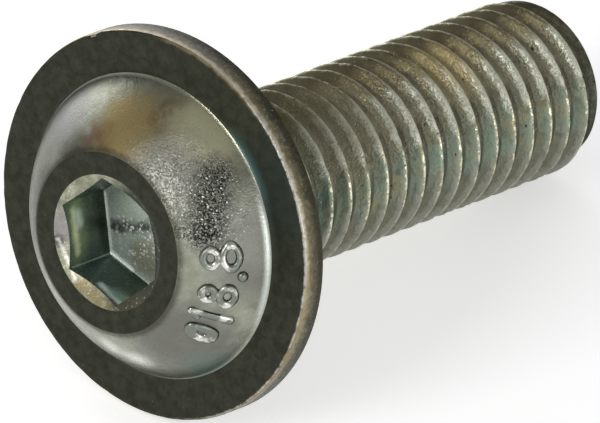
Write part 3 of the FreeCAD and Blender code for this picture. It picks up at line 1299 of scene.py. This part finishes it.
SOCKET_FINISH_AND_PAINTED_LIGHT = FinishAndPaintedLight(
    name="socket_plating_and_painted_light", light=(96, 112, 96), dark=(64, 80, 64), rough=(0.22, 0.34), bump=0.25, coarse=0.8,
    metallic=0.5,
    marks=(
        # Dark strip low on the left wall, just above the floor: painted shade.
        StainAndPaintedLight((30, 44, 30), 0.9, area=Streak((3.3, -0.2, 3.0), (1.9, -2.8, 3.0), 0.35, 0.4)),
        # Light streaks along the left wall below the mouth: a painted highlight.
        StainAndPaintedLight((150, 172, 130), 0.8, rough=0.2,
              area=Streak((3.25, -0.4, 1.1), (2.05, -2.5, 1.1), 0.6, 0.5, ragged=0.6)),
        StainAndPaintedLight((250, 255, 206), 1.0, rough=0.45,
              area=Streak((3.2, -0.5, 0.9), (2.05, -2.4, 0.95), 0.16, 0.26, ragged=0.35)),
        StainAndPaintedLight((236, 255, 244), 0.9, rough=0.2, area=Streak((3.1, -0.7, 1.2), (2.85, -1.1, 1.3), 0.22, 0.3)),
        StainAndPaintedLight((56, 78, 70), 0.85, area=Spot((0.6, -3.0, 2.0), 1.6, 0.8, ragged=0.6)),
        # Light lines along the lower wall just inside the mouth: a painted highlight.
        StainAndPaintedLight((240, 255, 252), 1.0, rough=0.3,
              area=Streak((0.0, -3.0, 0.85), (-1.7, -3.0, 0.6), 0.16, 0.22, ragged=0.3)),
        StainAndPaintedLight((150, 182, 172), 0.8, rough=0.3,
              area=Streak((-0.9, -3.0, 1.0), (-1.7, -3.0, 1.2), 0.35, 0.45)),
        # Light tone from the floor's round down over the floor: a painted highlight along the round, which
        # also gives the floor its lighter tone.
        HeightBand((178, 188, 178), 0.95, start=3.32, full=3.38),
        StainAndPaintedLight((150, 150, 126), 0.85, area=Spot((-0.4, -1.7, 3.4), 1.0, 0.4, ragged=1.0)),
        StainAndPaintedLight((40, 42, 40), 0.9,
              area=Streak((2.3, -1.6, 3.4), (0.1, -0.1, 3.4), 0.28, 0.35, ragged=1.1, grain=2.0)),
        # White specks on the floor: painted sparkles.
        Specks((255, 255, 255), 1.0, scale=4.5, share=1.0, size=0.75, depth=-0.8, rough=0.2,
               area=Spot((0.6, -1.3, 3.4), 1.5, 0.5)),
        # Light lines along a corner between two walls and along the floor's edges: painted highlights.
        StainAndPaintedLight((186, 206, 194), 0.75, rough=0.2,
              area=Streak((1.74, -3.0, 0.4), (1.74, -3.0, 3.3), 0.04, 0.05)),
        StainAndPaintedLight((250, 255, 250), 1.0, rough=0.3, area=Streak((1.65, -2.9, 3.4), (0.1, -2.9, 3.4), 0.1, 0.1)),
        StainAndPaintedLight((220, 232, 220), 0.8, rough=0.3, area=Streak((3.3, -0.1, 3.4), (1.7, -2.8, 3.4), 0.07, 0.07)),
    ))

THREAD_FINISH_AND_PAINTED_LIGHT = FinishAndPaintedLight(
    name="thread_plating_and_painted_light", light=(168, 168, 142), dark=(138, 138, 112), rough=(0.28, 0.42), bump=0.5,
    coarse=0.9, fine=6.0, metallic=0.85,
    marks=(
        Mottle((128, 146, 134), 0.75, rough=0.3, scale=0.7, level=0.46, spread=0.1, area=Side(156, 16, 32)),
        StainAndPaintedLight((100, 124, 112), 0.65, area=Spot((-3.8, 2.4, 11.0), 3.6, 2.0, ragged=2.5)),
        StainAndPaintedLight((104, 106, 95), 0.7, area=Side(212, 24, 44)),
        Mottle((104, 98, 76), 0.4, scale=0.9, level=0.55, spread=0.1),
        # Darker brown along the top side of the shank: painted shade, together with a brown tone.
        StainAndPaintedLight((116, 106, 76), 0.7, area=Side(80, 12, 26, ragged=0.2)),
        StainAndPaintedLight((84, 76, 54), 0.8, area=Side(50, 16, 30, ragged=0.2)),
        Mottle((214, 192, 138), 0.6, scale=9.0, level=0.58, spread=0.05, area=Side(90, 8, 22)),
        # Lighter roots along one side of the shank: painted light that offsets the shade in the roots.
        RadialBand((156, 151, 128), 0.6, start=4.62, full=4.42, area=Side(118, 20, 36)),
        # Dark roots beside the crests along one side of the shank: painted shade.
        RadialBand((50, 49, 38), 0.8, start=4.34, full=4.22, area=Side(156, 24, 38)),
        # Pale crests with a sandy grain along one side of the shank: a rough, worn texture and a painted
        # highlight band.
        RadialBand((226, 228, 210), 0.85, start=4.52, full=4.66, ragged=0.8, rough=0.42, depth=-0.5,
                   area=Side(120, 12, 24, ragged=0.16)),
        # Paler crests on the underside of the shank: a painted reflection of the floor.
        RadialBand((156, 157, 147), 0.6, start=4.5, full=4.7, ragged=0.8, rough=0.42, depth=-0.5,
                   area=Side(200, 16, 40, ragged=0.16)),
        Mottle((126, 124, 110), 0.45, scale=8.0, level=0.54, spread=0.06, depth=0.5, area=Side(118, 18, 34)),
        Mottle((96, 94, 76), 0.45, scale=1.5, level=0.58, spread=0.08, depth=0.3),
        StainAndPaintedLight((148, 142, 118), 0.55, area=Spot((-1.4, 4.6, 15.0), 3.0, 1.8, ragged=2.0)),
        StainAndPaintedLight((198, 178, 126), 0.5, area=Spot((-0.6, 4.8, 25.0), 1.8, 1.2, ragged=2.0)),
        StainAndPaintedLight((124, 126, 100), 0.7, area=Spot((-1.0, 4.8, 8.6), 3.4, 1.8, ragged=1.5)),
        # Thin golden-bright line on the crests along one side of the shank: a painted highlight.
        RadialBand((244, 230, 190), 0.85, start=4.87, full=4.91, ragged=0.4, rough=0.2,
                   area=Side(158, 14, 26)),
        RadialBand((204, 204, 182), 0.5, start=4.85, full=4.9, ragged=0.3),
        Specks(PIT, 0.85, scale=1.4, share=0.45, size=0.2, depth=1.5),
        # Light specks on the thread: painted glints.
        Specks(PAINTED_SHEEN, 0.5, scale=4.0, share=0.3, size=0.24, depth=-0.4),
        RingLine((46, 48, 39), 0.9, radius=4.5, height=34.9, width=1.3, ragged=0.8),
    ))

BODY_FINISHES_AND_PAINTED_LIGHT = {
    Surface.COLLAR: COLLAR_FINISH_AND_PAINTED_LIGHT,
    Surface.DOME: DOME_FINISH_AND_PAINTED_LIGHT,
    Surface.RIM: RIM_FINISH_AND_PAINTED_LIGHT,
    Surface.MOUTH: MOUTH_FINISH_AND_PAINTED_LIGHT,
    Surface.SOCKET: SOCKET_FINISH_AND_PAINTED_LIGHT,
    Surface.THREAD: THREAD_FINISH_AND_PAINTED_LIGHT,
}


@dataclass(frozen=True)
class Lamp:
    """A square soft lamp: the way to it from the screw, how far off it is, its side and its power."""

    name: str
    way: Place
    distance: float
    size: float
    power: float

    def build(self, aim_height: float) -> None:
        """Adds the lamp, which faces a point above the floor."""
        data = bpy.data.lights.new(self.name, "AREA")
        data.size, data.energy = self.size, self.power
        lamp = link(self.name, data)
        way = Vector(self.way).normalized()
        lamp.location = way * self.distance + Vector((0.0, 0.0, aim_height))
        lamp.rotation_mode = "QUATERNION"
        lamp.rotation_quaternion = way.to_track_quat("Z", "Y")


@dataclass
class Studio:
    """Plain pale floor, soft lamps and the camera of the photograph."""

    floor_size: float = 6.0
    floor_tone: float = 0.93
    floor_glow: float = 0.47
    floor_roughness: float = 0.9
    floor_shine: float = 0.1
    horizon: float = 0.8
    zenith: float = 0.32
    zenith_height: float = 0.8
    lens: float = 840.0
    sensor_width: float = 36.0
    clipping: tuple[float, float] = (0.01, 20.0)
    azimuth: float = -48.281
    elevation: float = 33.701
    camera_place: Place = (-0.46450, -0.41235, 0.41904)
    aim_height: float = 0.01
    lamps: tuple[Lamp, ...] = (
        Lamp("window_lamp", (0.34, 0.92, 0.18), distance=0.3, size=0.14, power=0.24),
        Lamp("head_side_lamp", (-0.85, 0.0, 0.52), distance=0.32, size=0.13, power=0.32),
        Lamp("front_lamp", (-0.38, -0.9, 0.16), distance=0.36, size=0.17, power=0.22))

    def floor(self) -> None:
        """Adds the floor on which the screw lies."""
        bm = bmesh.new()
        bmesh.ops.create_grid(bm, x_segments=1, y_segments=1, size=self.floor_size / 2.0)
        mesh = bpy.data.meshes.new("floor")
        bm.to_mesh(mesh)
        bm.free()
        material = bpy.data.materials.new("floor_paper")
        material.use_nodes = True
        bench = NodeBench(material.node_tree)
        path = bench.add("LightPath").outputs
        seen = bench.math("MAXIMUM", path["Is Camera Ray"], path["Is Glossy Ray"])
        seen = bench.math("MAXIMUM", seen, path["Is Transmission Ray"])
        paper = material.node_tree.nodes["Principled BSDF"].inputs
        for name, value in (
                ("Base Color", (self.floor_tone,) * 3), ("Roughness", self.floor_roughness),
                ("Specular IOR Level", self.floor_shine), ("Emission Color", (1.0, 1.0, 1.0)),
                ("Emission Strength", bench.math("MULTIPLY", seen, self.floor_glow))):
            bench.feed(paper[name], value)
        mesh.materials.append(material)
        link("floor", mesh)

    def world(self) -> None:
        """Makes the surroundings: pale at the horizon and darker overhead."""
        world = bpy.data.worlds.new("surroundings")
        bpy.context.scene.world = world
        world.use_nodes = True
        world.node_tree.nodes.clear()
        bench = NodeBench(world.node_tree)
        way = bench.add("SeparateXYZ", Vector=bench.add("TexCoord").outputs["Generated"])
        strength = bench.ramp(way.outputs["Z"], 0.0, self.zenith_height, self.horizon, self.zenith)
        shade = bench.add("Background", Color=(1.0, 1.0, 1.0), Strength=strength)
        bench.add("OutputWorld", Surface=shade.outputs["Background"])

    def camera(self) -> None:
        """Adds the camera at the photograph's viewing angle."""
        data = bpy.data.cameras.new("camera")
        data.lens, data.sensor_width = self.lens, self.sensor_width
        data.clip_start, data.clip_end = self.clipping
        camera = link("camera", data)
        camera.location = self.camera_place
        azimuth, elevation = math.radians(self.azimuth), math.radians(self.elevation)
        back = Vector((math.sin(azimuth) * math.cos(elevation), -math.cos(azimuth) * math.cos(elevation),
                       math.sin(elevation)))
        camera.rotation_mode = "QUATERNION"
        camera.rotation_quaternion = (-back).to_track_quat("-Z", "Y")
        bpy.context.scene.camera = camera

    def build(self) -> None:
        """Sets up the camera, the floor, the surroundings and the lamps."""
        bpy.context.scene.view_settings.view_transform = "Standard"
        self.camera()
        self.floor()
        self.world()
        for lamp in self.lamps:
            lamp.build(self.aim_height)


def main() -> None:
    """Builds the scene in order."""
    logging.basicConfig(level=logging.INFO, format="%(name)s: %(message)s")
    Studio().build()
    pose, effects = LyingPose.from_record(frame["record"]), SharedEffects()
    body = ScrewBody(pose)
    screw = body.build({surface: finish.build(pose, effects) for surface, finish in BODY_FINISHES_AND_PAINTED_LIGHT.items()})
    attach(screw, "root")
    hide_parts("screw")
    digits = RaisedDigits(pose, body.head).build(DIGIT_FINISH_AND_PAINTED_LIGHT.build(pose, effects))
    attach(digits, "root")


if __name__ == "__main__":
    main()
